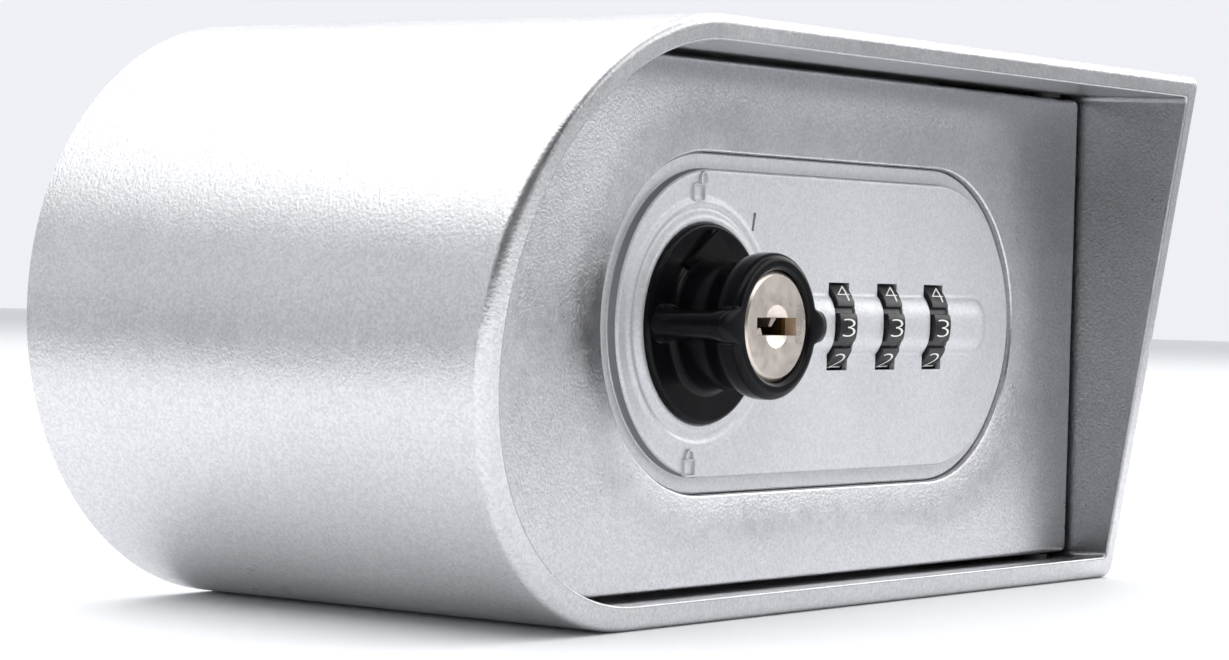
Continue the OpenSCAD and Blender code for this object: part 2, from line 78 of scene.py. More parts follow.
BODY_W = local(shell_hi).x
BODY_H = local(shell_hi).z
BODY_BACK = local(shell_hi).y
HOOD_TOP = -local(shell_lo).y
HOOD_LOW = 6.8
MID_Z = BODY_H / 2
WALL = 3.0
CORNER_R = 2.0
RIM_WALL = 3.5
RIM_ROUND = 1.5
RIM_BEVEL = 0.4
RIM_LIP_END = -1.0
BACK_EDGE = 0.4

DOOR_INSET = local(door_lo).x
DOOR_BACK = local(door_hi).y
FIELD_Y = -0.3
LIP_Y = 0.4
LIP_R = 0.4
DISH_END = 32.5
EDGE_R = 0.8
RECESS_R = 23.5
HOLE_R = 20.0
LEDGE_Y = 3.0
PIN_BORE_R = 1.55

panel_lo, panel_hi = node_box("lock_panel")
PANEL_R = (panel_hi.z - panel_lo.z) / 2
PANEL_LEFT = panel_lo.x + PANEL_R
PANEL_RIGHT = panel_hi.x - PANEL_R
FACE_R = 21.1
FACE_Y = -0.3
FACE_ROUND = 0.45
FLANGE_Y = 1.3
BAR_RISE = 1.3
BAR_EDGE = 4.3
BAR_END = 134.3
COLLAR_RISE = 0.6
COLLAR_R = 14.4
COLLAR_FOOT = 15.9
BEAD_R = 16.5
BEAD_W = 0.5
BEAD_RISE = 0.3
WINDOW_W = 5.4
WINDOW_LOW = 33.4
WINDOW_HIGH = 46.05
SPINDLE_BORE = 5.05
HUB_R = 8.0
HUB_BACK = 9.0
POCKET_LEFT = 3.6
POCKET_FRONT = 0.6
POCKET_HALF = 9
DISC_POCKET_R = 5.55
DISC_POCKET_END = 6.35
WHEEL_CLEAR = 0.35
CUT_PAST = 5
TICK = [(74.6, 55.5), (75.25, 55.42), (74.7, 52.9), (74.15, 52.98)]
TICK_DEPTH = 0.3
OPEN_MARK = (61.1, 56.7)
CLOSED_MARK = (60.5, 19.3)

FLANGE_R = 13.75
RING_R = 9.9
RING_IN = 7.9
STEM_R = 8.8
KNOB_REACH = 13.1
WING_REACH = 13.3
WING_HALF = 1.8
FLANGE_TOP = 1.6
STEM_FILLET = 1.2
LIP_ROUND = 1.1
NUB_SWELL = 0.25
NUB_END = 12.2
LIP_BORE_R = 7.62
ARROW_TIP = 12.9
ARROW_FOOT = 6.2

PLUG_R = 7.5
PLUG_FACE = 12.8
PLUG_HEAD_BACK = 11.2
PLUG_BACK = 1.2
BARREL_R = 6.0
DIMPLE_R = 2.9
KEYWAY_W = 9.4
KEYWAY_H = 2.4

WHEEL_W = 4.8
WHEEL_R = 8.4
WHEEL_REST = -2.6
PAD_HEIGHT = 4.15
GROOVE_DEPTH = 0.75
PAD_ROUND = 0.12
DIGITS = 10
DIGIT_W = 3.25
DIGIT_H = 2.6
DIGIT_THIN = -0.021
DIGIT_BAND = 0.3
PRINT_LIFT = 0.03
FIRST_DIGIT = 3


# --- mesh building ---------------------------------------------------------------

def place(points):
    return [ORIGIN + Vector(p) * MM for p in points]


def smoothstep(low, high, value):
    t = min(1.0, max(0.0, (value - low) / (high - low)))
    return t * t * (3 - 2 * t)


def mix(a, b, t):
    return a + (b - a) * t


def arc(cx, cy, radius, start, stop, steps):
    """Points along an arc, both ends included; the angles are in degrees."""
    points = []
    for k in range(steps + 1):
        a = math.radians(mix(start, stop, k / steps))
        points.append((cx + radius * math.cos(a), cy + radius * math.sin(a)))
    return points


def loft(rings, closed=False, caps=False):
    """Quads that join rings of equal length, each of which is a closed loop."""
    count = len(rings[0])
    verts = [p for ring in rings for p in ring]
    faces = []
    for k in range(len(rings) if closed else len(rings) - 1):
        a = k * count
        b = (k + 1) % len(rings) * count
        for i in range(count):
            j = (i + 1) % count
            faces.append((a + i, a + j, b + j, b + i))
    if caps:
        faces.append(tuple(range(count)))
        faces.append(tuple(range(len(verts) - count, len(verts))))
    return verts, faces


def turned(x, z, profile, steps=96, closed=False):
    """A shape turned about an axis along y from a profile of (radius, y)."""
    rings = []
    for radius, y in profile:
        ring = []
        for k in range(steps):
            a = math.tau * k / steps
            ring.append((x + radius * math.cos(a), y, z + radius * math.sin(a)))
        rings.append(ring)
    return loft(rings, closed)


def turned_bar(x, radius, y0, y1):
    """A round bar along y, at the height of the locks."""
    return turned(x, MID_Z, [(0, y0), (radius, y0), (radius, y1), (0, y1)])


def drum(y, z, radius, x0, x1, steps=64):
    """A round bar along x."""
    rings = []
    for x in (x0, x1):
        circle = arc(y, z, radius, 0, 360 - 360 / steps, steps - 1)
        rings.append([(x, cy, cz) for cy, cz in circle])
    return loft(rings, caps=True)


def turned_up(x, y, radius, z0, z1, steps=48):
    """A round bar along z."""
    rings = []
    for z in (z0, z1):
        circle = arc(x, y, radius, 0, 360 - 360 / steps, steps - 1)
        rings.append([(cx, cy, z) for cx, cy in circle])
    return loft(rings, caps=True)


def block(x0, x1, y0, y1, z0, z1):
    """A box with its sides along the axes."""
    rings = []
    for y in (y0, y1):
        rings.append([(x0, y, z0), (x1, y, z0), (x1, y, z1), (x0, y, z1)])
    return loft(rings, caps=True)


def slab(outline, y_back, front, bevel):
    """A raised shape from an outline in x and z, with its front edge bevelled. The
    front is a depth or a function of x and z."""
    front_y = front if callable(front) else lambda x, z: front
    cx = sum(p[0] for p in outline) / len(outline)
    cz = sum(p[1] for p in outline) / len(outline)
    reach = max(math.hypot(x - cx, z - cz) for x, z in outline)
    shrink = 1 - bevel / reach
    rings = [
        [(x, y_back, z) for x, z in outline],
        [(x, front_y(x, z) + bevel, z) for x, z in outline],
        [(cx + (x - cx) * shrink, front_y(x, z), cz + (z - cz) * shrink)
         for x, z in outline],
    ]
    return loft(rings, caps=True)


def piece(name, parts, material=None):
    """One mesh object from lists of vertices and faces."""
    bm = bmesh.new()
    for verts, faces in parts:
        made = [bm.verts.new(p) for p in place(verts)]
        for face in faces:
            bm.faces.new([made[i] for i in face])
    bmesh.ops.remove_doubles(bm, verts=bm.verts, dist=WELD)
    bmesh.ops.dissolve_degenerate(bm, edges=bm.edges, dist=WELD)
    bmesh.ops.recalc_face_normals(bm, faces=bm.faces)
    mesh = bpy.data.meshes.new(name)
    bm.to_mesh(mesh)
    bm.free()
    if material:
        mesh.materials.append(material)
    obj = bpy.data.objects.new(name, mesh)
    bpy.context.scene.collection.objects.link(obj)
    return obj


def carve(obj, *parts):
    """Cuts each part out of obj in turn."""
    for part in parts:
        cutter = piece("cutter", [part])
        mod = obj.modifiers.new("carve", "BOOLEAN")
        mod.operation = "DIFFERENCE"
        mod.solver = "EXACT"
        mod.object = cutter
        bpy.context.view_layer.update()
        depsgraph = bpy.context.evaluated_depsgraph_get()
        mesh = bpy.data.meshes.new_from_object(obj.evaluated_get(depsgraph))
        obj.modifiers.clear()
        obj.data = mesh
        bpy.data.objects.remove(cutter)


def paint(obj, material, chosen):
    """Gives a second material to the faces whose centre passes a test in x, y and z."""
    obj.data.materials.append(material)
    for face in obj.data.polygons:
        if chosen(*((Vector(face.center) - ORIGIN) / MM)):
            face.material_index = 1


def smooth(obj, angle=SHARP):
    obj.data.shade_smooth()
    obj.data.set_sharp_from_angle(angle=math.radians(angle))
    mod = obj.modifiers.new("normals", "WEIGHTED_NORMAL")
    mod.keep_sharp = True
    return obj


def fit(obj, body, slot, *nodes):
    """Ties a piece to its CAD body and hides the nodes that it stands for; slot is not used."""
    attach(obj, body)
    if nodes:
        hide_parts(*nodes)
    return obj


# --- materials -------------------------------------------------------------------

def node_tree(name):
    material = bpy.data.materials.new(name)
    material.use_nodes = True
    tree = material.node_tree
    return material, tree.nodes, tree.links, tree.nodes["Principled BSDF"]


def noise(nodes, links, source, scale, detail=3.0, rough=0.55):
    node = nodes.new("ShaderNodeTexNoise")
    node.inputs["Scale"].default_value = scale
    node.inputs["Detail"].default_value = detail
    node.inputs["Roughness"].default_value = rough
    links.new(source, node.inputs["Vector"])
    return node.outputs["Fac"]


def remap(nodes, links, source, low, high, from_low=0.3, from_high=0.7):
    node = nodes.new("ShaderNodeMapRange")
    node.inputs["From Min"].default_value = from_low
    node.inputs["From Max"].default_value = from_high
    node.inputs["To Min"].default_value = low
    node.inputs["To Max"].default_value = high
    links.new(source, node.inputs["Value"])
    return node.outputs["Result"]


def blend_colors(nodes, links, factor, first, second):
    """A mix of two colours; 6, 7 and output 2 are the Mix node's colour sockets."""
    node = nodes.new("ShaderNodeMix")
    node.data_type = "RGBA"
    node.inputs[6].default_value = (*first, 1)
    node.inputs[7].default_value = (*second, 1)
    links.new(factor, node.inputs[0])
    return node.outputs[2]


def surface(
    name,
    color,
    metallic=0.0,
    roughness=0.5,
    vary=0.06,
    tone=0.06,
    grain=1500.0,
    relief=0.01,
    stretch=(1.0, 1.0, 1.0),
    fleck=0.0,
    specular=0.5,
    anisotropy=0.0,
):
    """A finish with fine grain in its relief, and broader changes of tone and gloss.
    grain is in cycles per metre and relief in millimetres."""
    material, nodes, links, shader = node_tree(name)
    place_node = nodes.new("ShaderNodeTexCoord")
    mapping = nodes.new("ShaderNodeMapping")
    mapping.inputs["Scale"].default_value = stretch
    links.new(place_node.outputs["Object"], mapping.inputs["Vector"])
    spot = mapping.outputs["Vector"]

    fine = noise(nodes, links, spot, grain, 2.0)
    broad = noise(nodes, links, place_node.outputs["Object"], 45.0, 5.0, 0.6)
    middle = noise(nodes, links, spot, grain * 0.22, 3.0)

    darker = tuple(c * (1 - tone) for c in color)
    lighter = tuple(min(1.0, c * (1 + tone)) for c in color)
    shade = blend_colors(nodes, links, remap(nodes, links, broad, 0, 1), darker, lighter)
    if fleck:
        cells = nodes.new("ShaderNodeTexVoronoi")
        cells.inputs["Scale"].default_value = grain * 1.3
        links.new(spot, cells.inputs["Vector"])
        split = nodes.new("ShaderNodeSeparateColor")
        links.new(cells.outputs["Color"], split.inputs["Color"])
        spark = remap(nodes, links, split.outputs[0], 1 - fleck, 1 + fleck, 0, 1)
        scale = nodes.new("ShaderNodeVectorMath")
        scale.operation = "SCALE"
        links.new(shade, scale.inputs[0])
        links.new(spark, scale.inputs["Scale"])
        shade = scale.outputs["Vector"]
    links.new(shade, shader.inputs["Base Color"])

    gloss = nodes.new("ShaderNodeMath")
    gloss.operation = "ADD"
    links.new(remap(nodes, links, broad, -vary, vary), gloss.inputs[0])
    links.new(remap(nodes, links, middle, roughness - vary, roughness + vary),
              gloss.inputs[1])
    links.new(gloss.outputs[0], shader.inputs["Roughness"])

    bump = nodes.new("ShaderNodeBump")
    bump.inputs["Strength"].default_value = 1.0
    bump.inputs["Distance"].default_value = relief * MM
    links.new(fine, bump.inputs["Height"])
    links.new(bump.outputs["Normal"], shader.inputs["Normal"])

    shader.inputs["Metallic"].default_value = metallic
    shader.inputs["Specular IOR Level"].default_value = specular
    shader.inputs["Anisotropic"].default_value = anisotropy
    return material


COAT = dict(metallic=1.0, roughness=0.33, vary=0.04, tone=0.03, grain=2300.0,
            relief=0.05, fleck=0.1)
STEEL = dict(metallic=1.0, vary=0.035, tone=0.04, grain=3000.0, relief=0.004)
SATIN = dict(vary=0.05, tone=0.15, grain=2500.0, relief=0.006)

MATERIALS = {
    "body_coat": surface("body_coat", (0.63, 0.632, 0.645), **COAT),
    "door_coat": surface("door_coat", (0.66, 0.662, 0.682), **COAT),
    "panel_coat": surface("panel_coat", (0.68, 0.685, 0.705), metallic=0.4, roughness=0.42,
                          vary=0.04, tone=0.03, grain=2300.0, relief=0.04, fleck=0.08),
    "zinc_plate": surface("zinc_plate", (0.62, 0.63, 0.64), roughness=0.34,
                          stretch=(0.08, 1, 1), anisotropy=0.3, **STEEL),
    "screw_steel": surface("screw_steel", (0.55, 0.56, 0.58), roughness=0.26, **STEEL),
    "hook_steel": surface("hook_steel", (0.66, 0.66, 0.67), roughness=0.18, **STEEL),
    "pin_steel": surface("pin_steel", (0.58, 0.59, 0.6), roughness=0.22, **STEEL),
    "spring_steel": surface("spring_steel", (0.36, 0.38, 0.44), roughness=0.3, **STEEL),
    "bolt_steel": surface("bolt_steel", (0.6, 0.6, 0.61), roughness=0.3,
                          stretch=(0.05, 1, 1), anisotropy=0.4, **STEEL),
    "housing_cast": surface("housing_cast", (0.4, 0.41, 0.43), metallic=0.7,
                            roughness=0.55, grain=1400.0, relief=0.03),
    "seal_rubber": surface("seal_rubber", (0.03, 0.03, 0.033), roughness=0.75,
                           grain=1800.0, relief=0.02, tone=0.2),
    "mat_rubber": surface("mat_rubber", (0.05, 0.05, 0.054), roughness=0.8,
                          grain=900.0, relief=0.06, tone=0.2),
    # The washers are white nylon; this near-black colour is painted shade.
    "nylon": surface("nylon", (0.02, 0.02, 0.022), roughness=0.45, grain=1500.0),
    "knob_black": surface("knob_black", (0.004, 0.004, 0.005), roughness=0.19,
                          specular=0.13, **SATIN),
    "plug_nickel": surface("plug_nickel", (0.74, 0.665, 0.595), metallic=1.0, roughness=0.3,
                           vary=0.06, tone=0.03, grain=2600.0, relief=0.004),
    "brass": surface("brass", (0.74, 0.55, 0.24), roughness=0.28, **STEEL),
    "wheel_black": surface("wheel_black", (0.012, 0.012, 0.014), roughness=0.3,
                           specular=0.3, **SATIN),
}
# A darker copy of the body coat: painted shade for the inside of the hood, where the roof and walls keep light
# off.
INNER_PAINTED_SHADE = surface("inner_painted_shade", (0.46, 0.462, 0.475), **COAT)
# Dark grey for painted shade on the groove wall round the panel's raised face and inside the carved tick.
GROOVE_PAINTED_SHADE = surface("groove_painted_shade", (0.24, 0.24, 0.25), roughness=0.6, grain=2300.0,
                      relief=0.04)
KEY_WALL = surface("key_wall", (0.6, 0.42, 0.28), metallic=0.2, roughness=0.45,
                   grain=2600.0)
# Brass darkened far below its own colour: painted shade for the wafers and the dark plate deep inside the keyway.
WAFER_BRASS_PAINTED_SHADE = surface("wafer_brass_painted_shade", (0.16, 0.1, 0.035), roughness=0.5, **STEEL)
DIGIT_PAINT = surface("digit_paint", (0.88, 0.88, 0.86), roughness=0.5, grain=4000.0,
                      relief=0.004, tone=0.03)


# --- the shell -------------------------------------------------------------------

def rim_y(z):
    """How far forward the slanted front edge of the box is at a height."""
    return -mix(HOOD_LOW, HOOD_TOP, z / BODY_H)


def inside_d(x, z, inset, radius):
    """Whether a point is in the box's outline moved in by inset, with a corner radius."""
    half = MID_Z - inset
    if x < MID_Z:
        return math.hypot(x - MID_Z, z - MID_Z) < half
    over_x = max(0.0, x - (BODY_W - inset - radius))
    over_z = max(0.0, abs(z - MID_Z) - (half - radius))
    return math.hypot(over_x, over_z) < radius


def box_ring(inset, back=None, offset=0.0):
    """A loop round the box's outline, moved in by inset, at a depth or along the rim."""
    radius = max(CORNER_R - inset, 1.0)
    right = BODY_W - inset - radius
    outline = arc(MID_Z, MID_Z, MID_Z - inset, 270, 90, 128)
    outline += arc(right, BODY_H - inset - radius, radius, 90, 0, 8)
    outline += arc(right, inset + radius, radius, 0, -90, 8)
    return [(x, rim_y(z) + offset if back is None else back, z) for x, z in outline]


def build_shell():
    rings = [box_ring(BACK_EDGE, BODY_BACK), box_ring(0, BODY_BACK - BACK_EDGE)]
    for inset, offset in arc(RIM_ROUND, RIM_ROUND, RIM_ROUND, 180, 270, 8):
        rings.append(box_ring(inset, offset=offset))
    inner = arc(RIM_WALL - RIM_BEVEL, RIM_BEVEL, RIM_BEVEL, 270, 360, 5)
    for inset, offset in inner:
        rings.append(box_ring(inset, offset=offset))
    rings.append(box_ring(WALL, RIM_LIP_END))
    rings.append(box_ring(WALL, BODY_BACK - BACK_EDGE))
    rings.append(box_ring(WALL - BACK_EDGE, BODY_BACK))
    obj = piece("shell_body", [loft(rings, closed=True)], MATERIALS["body_coat"])
    pin_r = PIN_BORE_R - 0.05
    bore = turned_up(HINGE_X, HINGE_Y, pin_r, -1, WALL + 1)
    carve(obj, bore)
    # The faces inside the hood get the darker copy of the coat as painted shade.
    paint(obj, INNER_PAINTED_SHADE, lambda x, y, z: inside_d(x, z, WALL - 0.3, 1))
    fit(smooth(obj), "box", "body_coat", "shell")


# --- the door --------------------------------------------------------------------

def fan(left_steps, side_steps, turns):
    """Places on the panel's core line and directions away from it, clockwise from the
    top left, so that rings of any radius or outline share their vertices."""
    span = PANEL_RIGHT - PANEL_LEFT
    spokes = [(PANEL_LEFT + span * k / side_steps, 0, 1) for k in range(side_steps)]
    for a in turns:
        spokes.append((PANEL_RIGHT, math.cos(math.radians(a)), math.sin(math.radians(a))))
    spokes += [(PANEL_RIGHT - span * k / side_steps, 0, -1) for k in range(side_steps)]
    for k in range(left_steps):
        a = math.radians(270 - 180 * k / left_steps)
        spokes.append((PANEL_LEFT, math.cos(a), math.sin(a)))
    return spokes


def stadium_ring(spokes, radius, depth):
    """A ring at a radius from the core line; depth is a number or a function of x, z."""
    ring = []
    for x, dx, dz in spokes:
        px = x + dx * radius
        pz = MID_Z + dz * radius
        ring.append((px, depth(px, pz) if callable(depth) else depth, pz))
    return ring


def outline_ring(spokes, inset, y):
    """A ring where the spokes meet the door's outline, moved in by inset."""
    radius = max(1.0 - inset, 0.2)
    ring = []
    for x, dx, dz in spokes:
        near, far = 0.0, BODY_W
        for _ in range(40):
            middle = (near + far) / 2
            if inside_d(x + dx * middle, MID_Z + dz * middle, DOOR_INSET + inset, radius):
                near = middle
            else:
                far = middle
        ring.append((x + dx * near, y, MID_Z + dz * near))
    return ring


def corner_turns(steps):
    """Angles from 90 to -90 degrees, with extra ones at the door's two right corners."""
    turns = {90 - 180 * k / steps for k in range(steps)}
    right = BODY_W - DOOR_INSET
    for side in (1, -1):
        corner = arc(right - 1, side * (MID_Z - DOOR_INSET - 1), 1, 0, side * 90, 6)
        for x, z in corner:
            turns.add(math.degrees(math.atan2(z, x - PANEL_RIGHT)))
    return sorted(turns, reverse=True)


def build_door():
    spokes = fan(72, 40, corner_turns(60))
    rings = [stadium_ring(spokes, HOLE_R, DOOR_BACK),
             stadium_ring(spokes, HOLE_R, LEDGE_Y),
             stadium_ring(spokes, RECESS_R, LEDGE_Y)]
    for radius, y in arc(RECESS_R + LIP_R, LIP_Y + LIP_R, LIP_R, 180, 270, 6):
        rings.append(stadium_ring(spokes, radius, y))
    dish_steps = 18
    for k in range(1, dish_steps + 1):
        t = k / dish_steps
        radius = mix(RECESS_R + LIP_R, DISH_END, t)
        rings.append(stadium_ring(spokes, radius, mix(LIP_Y, FIELD_Y, 1 - (1 - t) ** 2)))
    for inset, y in arc(EDGE_R, FIELD_Y + EDGE_R, EDGE_R, 270, 180, 6):
        rings.append(outline_ring(spokes, inset, y))
    rings.append(outline_ring(spokes, 0, DOOR_BACK - BACK_EDGE))
    rings.append(outline_ring(spokes, BACK_EDGE, DOOR_BACK))
    obj = piece("door_leaf", [loft(rings, closed=True)], MATERIALS["door_coat"])
    carve(obj, turned_up(HINGE_X, HINGE_Y, PIN_BORE_R, 0, BODY_H))
    fit(smooth(obj), "door", "door_coat", "door")


# --- the lock panel --------------------------------------------------------------

def panel_y(x, z):
    """Depth of the panel's front: flat, with the bar and the collar raised on it."""
    along = min(max(x, KNOB_X), BAR_END)
    off_bar = math.hypot(x - along, z - MID_Z)
    bar = BAR_RISE * (1 - min(1.0, off_bar / BAR_EDGE) ** 3)
    r = math.hypot(x - KNOB_X, z - MID_Z)
    collar = COLLAR_RISE * (1 - smoothstep(COLLAR_R, COLLAR_FOOT, r))
    bead = BEAD_RISE * math.exp(-(((r - BEAD_R) / BEAD_W) ** 2))
    under_knob = smoothstep(FLANGE_R - 0.5, FLANGE_R + 0.3, r)
    return FACE_Y - max(bar * under_knob, (collar + bead) * under_knob)


def panel_radii():
    """Radii of the panel's grid, closer together where the collar and bar are."""
    radii = [0.0]
    while radii[-1] < FACE_R - FACE_ROUND - 0.3:
        step = 0.25 if radii[-1] < 5 or 11 < radii[-1] < 19.5 else 0.45
        radii.append(radii[-1] + step)
    return radii


def in_groove(x, y, z):
    """Whether a point is on the wall round the panel's raised face, or at its foot, where painted shade goes."""
    along = min(max(x, PANEL_LEFT), PANEL_RIGHT)
    off = math.hypot(x - along, z - MID_Z) - FACE_R
    return -0.1 < off < 0.1 and FACE_Y + FACE_ROUND * 0.7 < y < FLANGE_Y - 0.1


def in_tick(x, y, z):
    """Whether a point is inside the carved tick mark, whose faces get painted shade."""
    by_x = min(p[0] for p in TICK) <= x <= max(p[0] for p in TICK)
    by_z = min(p[1] for p in TICK) <= z <= max(p[1] for p in TICK)
    return by_x and by_z and 0.05 < y - FACE_Y < TICK_DEPTH + 0.1


def build_panel():
    turns = [90 - 180 * k / 150 for k in range(150)]
    spokes = fan(180, 150, turns)
    rings = [stadium_ring(spokes, r, panel_y) for r in panel_radii()]
    centre = FACE_R - FACE_ROUND
    for radius, y in arc(centre, FACE_Y + FACE_ROUND, FACE_ROUND, 270, 360, 6):
        rings.append(stadium_ring(spokes, radius, y))
    for radius, y in arc(FACE_R + 0.3, FLANGE_Y - 0.3, 0.3, 180, 90, 4):
        rings.append(stadium_ring(spokes, radius, y))
    for radius, y in ((PANEL_R - 0.2, FLANGE_Y), (PANEL_R, FLANGE_Y + 0.2),
                      (PANEL_R, LEDGE_Y), (HUB_R, LEDGE_Y), (0, LEDGE_Y)):
        rings.append(stadium_ring(spokes, radius, y))
    obj = piece("panel_plate", [loft(rings)], MATERIALS["panel_coat"])
    disc_right = node_box("code_disc_3")[1].x
    carve(obj, block(WHEELS[0].x - POCKET_LEFT, disc_right + POCKET_FRONT, POCKET_FRONT,
                     CUT_PAST, MID_Z - POCKET_HALF, MID_Z + POCKET_HALF))
    for axis in WHEELS:
        x0 = axis.x - WINDOW_W / 2
        x1 = axis.x + WINDOW_W / 2
        carve(obj, block(x0, x1, -CUT_PAST, CUT_PAST, WINDOW_LOW, WINDOW_HIGH),
              drum(axis.y, MID_Z, WHEEL_R + WHEEL_CLEAR, x0, x1, 96),
              drum(axis.y, MID_Z, DISC_POCKET_R, axis.x, axis.x + DISC_POCKET_END))
    carve(obj, turned_bar(KNOB_X, SPINDLE_BORE, -CUT_PAST, CUT_PAST))
    rings = [[(x, y, z) for x, z in TICK] for y in (-1, FACE_Y + TICK_DEPTH)]
    carve(obj, loft(rings, caps=True))
    # The groove wall round the raised face and the inside of the tick get painted shade.
    paint(obj, GROOVE_PAINTED_SHADE, lambda x, y, z: in_groove(x, y, z) or in_tick(x, y, z))
    fit(smooth(obj, 32), "door", "panel_coat", "lock_panel")

    hub = turned(KNOB_X, MID_Z, [(SPINDLE_BORE, LEDGE_Y - 0.2), (HUB_R, LEDGE_Y - 0.2),
                                 (HUB_R, HUB_BACK - 0.3), (HUB_R - 0.3, HUB_BACK),
                                 (SPINDLE_BORE, HUB_BACK)], closed=True)
    fit(smooth(piece("panel_hub", [hub], MATERIALS["panel_coat"])), "door", "panel_coat")


def strip(points, width):
    """The outline of a band of even width along a line of points in x and z."""
    left, right = [], []
    for k, (x, z) in enumerate(points):
        x0, z0 = points[max(k - 1, 0)]
        x1, z1 = points[min(k + 1, len(points) - 1)]
        length = math.hypot(x1 - x0, z1 - z0)
        nx = -(z1 - z0) / length * width / 2
        nz = (x1 - x0) / length * width / 2
        left.append((x + nx, z + nz))
        right.append((x - nx, z - nz))
    return left, right


def band(points, width, y_back, y_front):
    """A raised band with sloping sides along a line of points."""
    left, right = strip(points, width)
    top_left, top_right = strip(points, width * 0.5)
    verts, faces = [], []
    for k in range(len(points)):
        for side, y in ((left, y_back), (top_left, y_front), (top_right, y_front),
                        (right, y_back)):
            x, z = side[k]
            verts.append((x, y, z))
    for k in range(len(points) - 1):
        for i in range(4):
            j = (i + 1) % 4
            faces.append((4 * k + i, 4 * k + j, 4 * k + 4 + j, 4 * k + 4 + i))
    faces.append((0, 1, 2, 3))
    faces.append(tuple(len(verts) - 4 + i for i in range(4)))
    return verts, faces


def padlock(x, z, swung):
    """A small raised padlock: an outlined body and its shackle, closed or swung open."""
    back = FACE_Y + 0.1
    front = FACE_Y - 0.4
    half = 1.2
    height = 2.2
    body = [(x - half, z + height), (x - half, z + 0.3), (x - half + 0.3, z),
            (x + half - 0.3, z), (x + half, z + 0.3), (x + half, z + height),
            (x - half, z + height)]
    shift = 1.1 if swung else 0.0
    lift = 0.35 if swung else 0.0
    base = z + height
    legs = [(x + shift - 0.75, base), (x + shift - 0.75, base + 0.6 + lift)]
    top = arc(x + shift, base + 0.6 + lift, 0.75, 180, 0, 8)
    legs += top[1:] + [(x + shift + 0.75, base + (0.3 if swung else 0.0))]
    return [band(body, 0.45, back, front), band(legs, 0.4, back, front)]


def build_marks():
    parts = padlock(*OPEN_MARK, True) + padlock(*CLOSED_MARK, False)
    marks = piece("panel_marks", parts, MATERIALS["panel_coat"])
    fit(smooth(marks, 60), "door", "panel_coat")


# --- the knob --------------------------------------------------------------------

def stem_radius(reach):
    """Radius of the knob's round body at a distance in front of the door."""
    top = FLANGE_TOP + STEM_FILLET
    radius = STEM_R
    if reach < top:
        below = min(STEM_FILLET, top - reach)
        radius += STEM_FILLET - math.sqrt(STEM_FILLET**2 - below**2)
    radius += (RING_R - STEM_R) * smoothstep(6.5, 10.8, reach)
    if reach > KNOB_REACH - LIP_ROUND:
        over = min(1.0, (reach - KNOB_REACH + LIP_ROUND) / LIP_ROUND)
        radius -= LIP_ROUND * (1 - math.sqrt(1 - over * over))
    return radius


def wing_radius(angle, reach):
    """Radius of the two grip wings at an angle from three or nine o'clock."""
    half = WING_HALF + 0.85 * math.exp(-(reach - FLANGE_TOP) / 0.7)
    half += NUB_SWELL * smoothstep(9.5, 11.5, reach)
    tip = mix(WING_REACH, WING_REACH - 0.3, smoothstep(FLANGE_TOP, 11, reach))
    if reach > NUB_END:
        over = min(1.0, (reach - NUB_END) / (KNOB_REACH - NUB_END))
        tip = mix(RING_R - 0.6, tip, math.sqrt(1 - over * over))
    centre = tip - half
    side = abs(math.sin(angle))
    if centre * side < half:
        along = centre * abs(math.cos(angle)) + math.sqrt(half**2 - (centre * side) ** 2)
        if along * abs(math.cos(angle)) >= centre:
            return along
    return half / max(side, 0.05)


def smooth_max(a, b, k):
    """The larger of two values, blended where they are within k of each other."""
    h = min(1.0, max(0.0, 0.5 + 0.5 * (b - a) / k))
    return mix(a, b, h) + k * h * (1 - h)


def knob_angles():
    """Angles round the knob, closest together at the two wings."""
    quarter = [k * 0.6 for k in range(46)] + [27.6 + k * 2.08 for k in range(1, 30)]
    half = quarter + [180 - a for a in reversed(quarter)]
    return [math.radians(a) for a in half] + [math.radians(180 + a) for a in half]


def build_knob():
    angles = knob_angles()

    def ring(radius_at, reach):
        points = []
        for a in angles:
            r = radius_at(a)
            points.append((KNOB_X + r * math.cos(a), -reach, MID_Z + r * math.sin(a)))
        return points

    rings = []
    for r, reach in ((SPINDLE_BORE - 0.05, 0.4), (FLANGE_R - 0.25, 0.4), (FLANGE_R, 0.6),
                     (FLANGE_R, 1.2), (FLANGE_R - 0.12, 1.42), (FLANGE_R - 0.4, 1.58),
                     (FLANGE_R - 0.55, FLANGE_TOP)):
        rings.append(ring(lambda a, r=r: r, reach))
    reaches = [FLANGE_TOP + 0.12 * k for k in range(11)]
    reaches += [3.2 + 0.5 * k for k in range(16)]
    reaches += [11.2 + 0.12 * k for k in range(16)]
    reaches += [KNOB_REACH - 0.03, KNOB_REACH]
    for reach in reaches:
        stem = stem_radius(reach)
        soft = mix(1.1, 2.6, smoothstep(9, 11.5, reach))
        rings.append(ring(
            lambda a: min(smooth_max(stem, wing_radius(a, reach), soft), WING_REACH), reach))
    for r, back in arc(LIP_BORE_R + 0.5, 0.5, 0.5, 270, 180, 4):
        rings.append(ring(lambda a, r=r: r, KNOB_REACH - back))
    for r, reach in ((LIP_BORE_R, 11.3), (RING_IN, 11.2), (RING_IN, 1.0),
                     (SPINDLE_BORE - 0.05, 1.0)):
        rings.append(ring(lambda a, r=r: r, reach))
    grip = piece("knob_grip", [loft(rings, closed=True)], MATERIALS["knob_black"])
    fit(smooth(grip, 40), "knob", "knob_black", "knob")

    arrow = [(KNOB_X, MID_Z + ARROW_TIP), (KNOB_X + 6.4, MID_Z + 8.1),
             (KNOB_X + 4, MID_Z + ARROW_FOOT), (KNOB_X - 4, MID_Z + ARROW_FOOT),
             (KNOB_X - 6.4, MID_Z + 8.1)]

    def slope(x, z):
        return mix(-2.1, -2.9, (z - MID_Z - ARROW_FOOT) / 6.7)

    pointer = piece("knob_pointer", [slab(arrow, -1.5, slope, 0.25)],
                    MATERIALS["knob_black"])
    fit(smooth(pointer, 20), "knob", "knob_black")


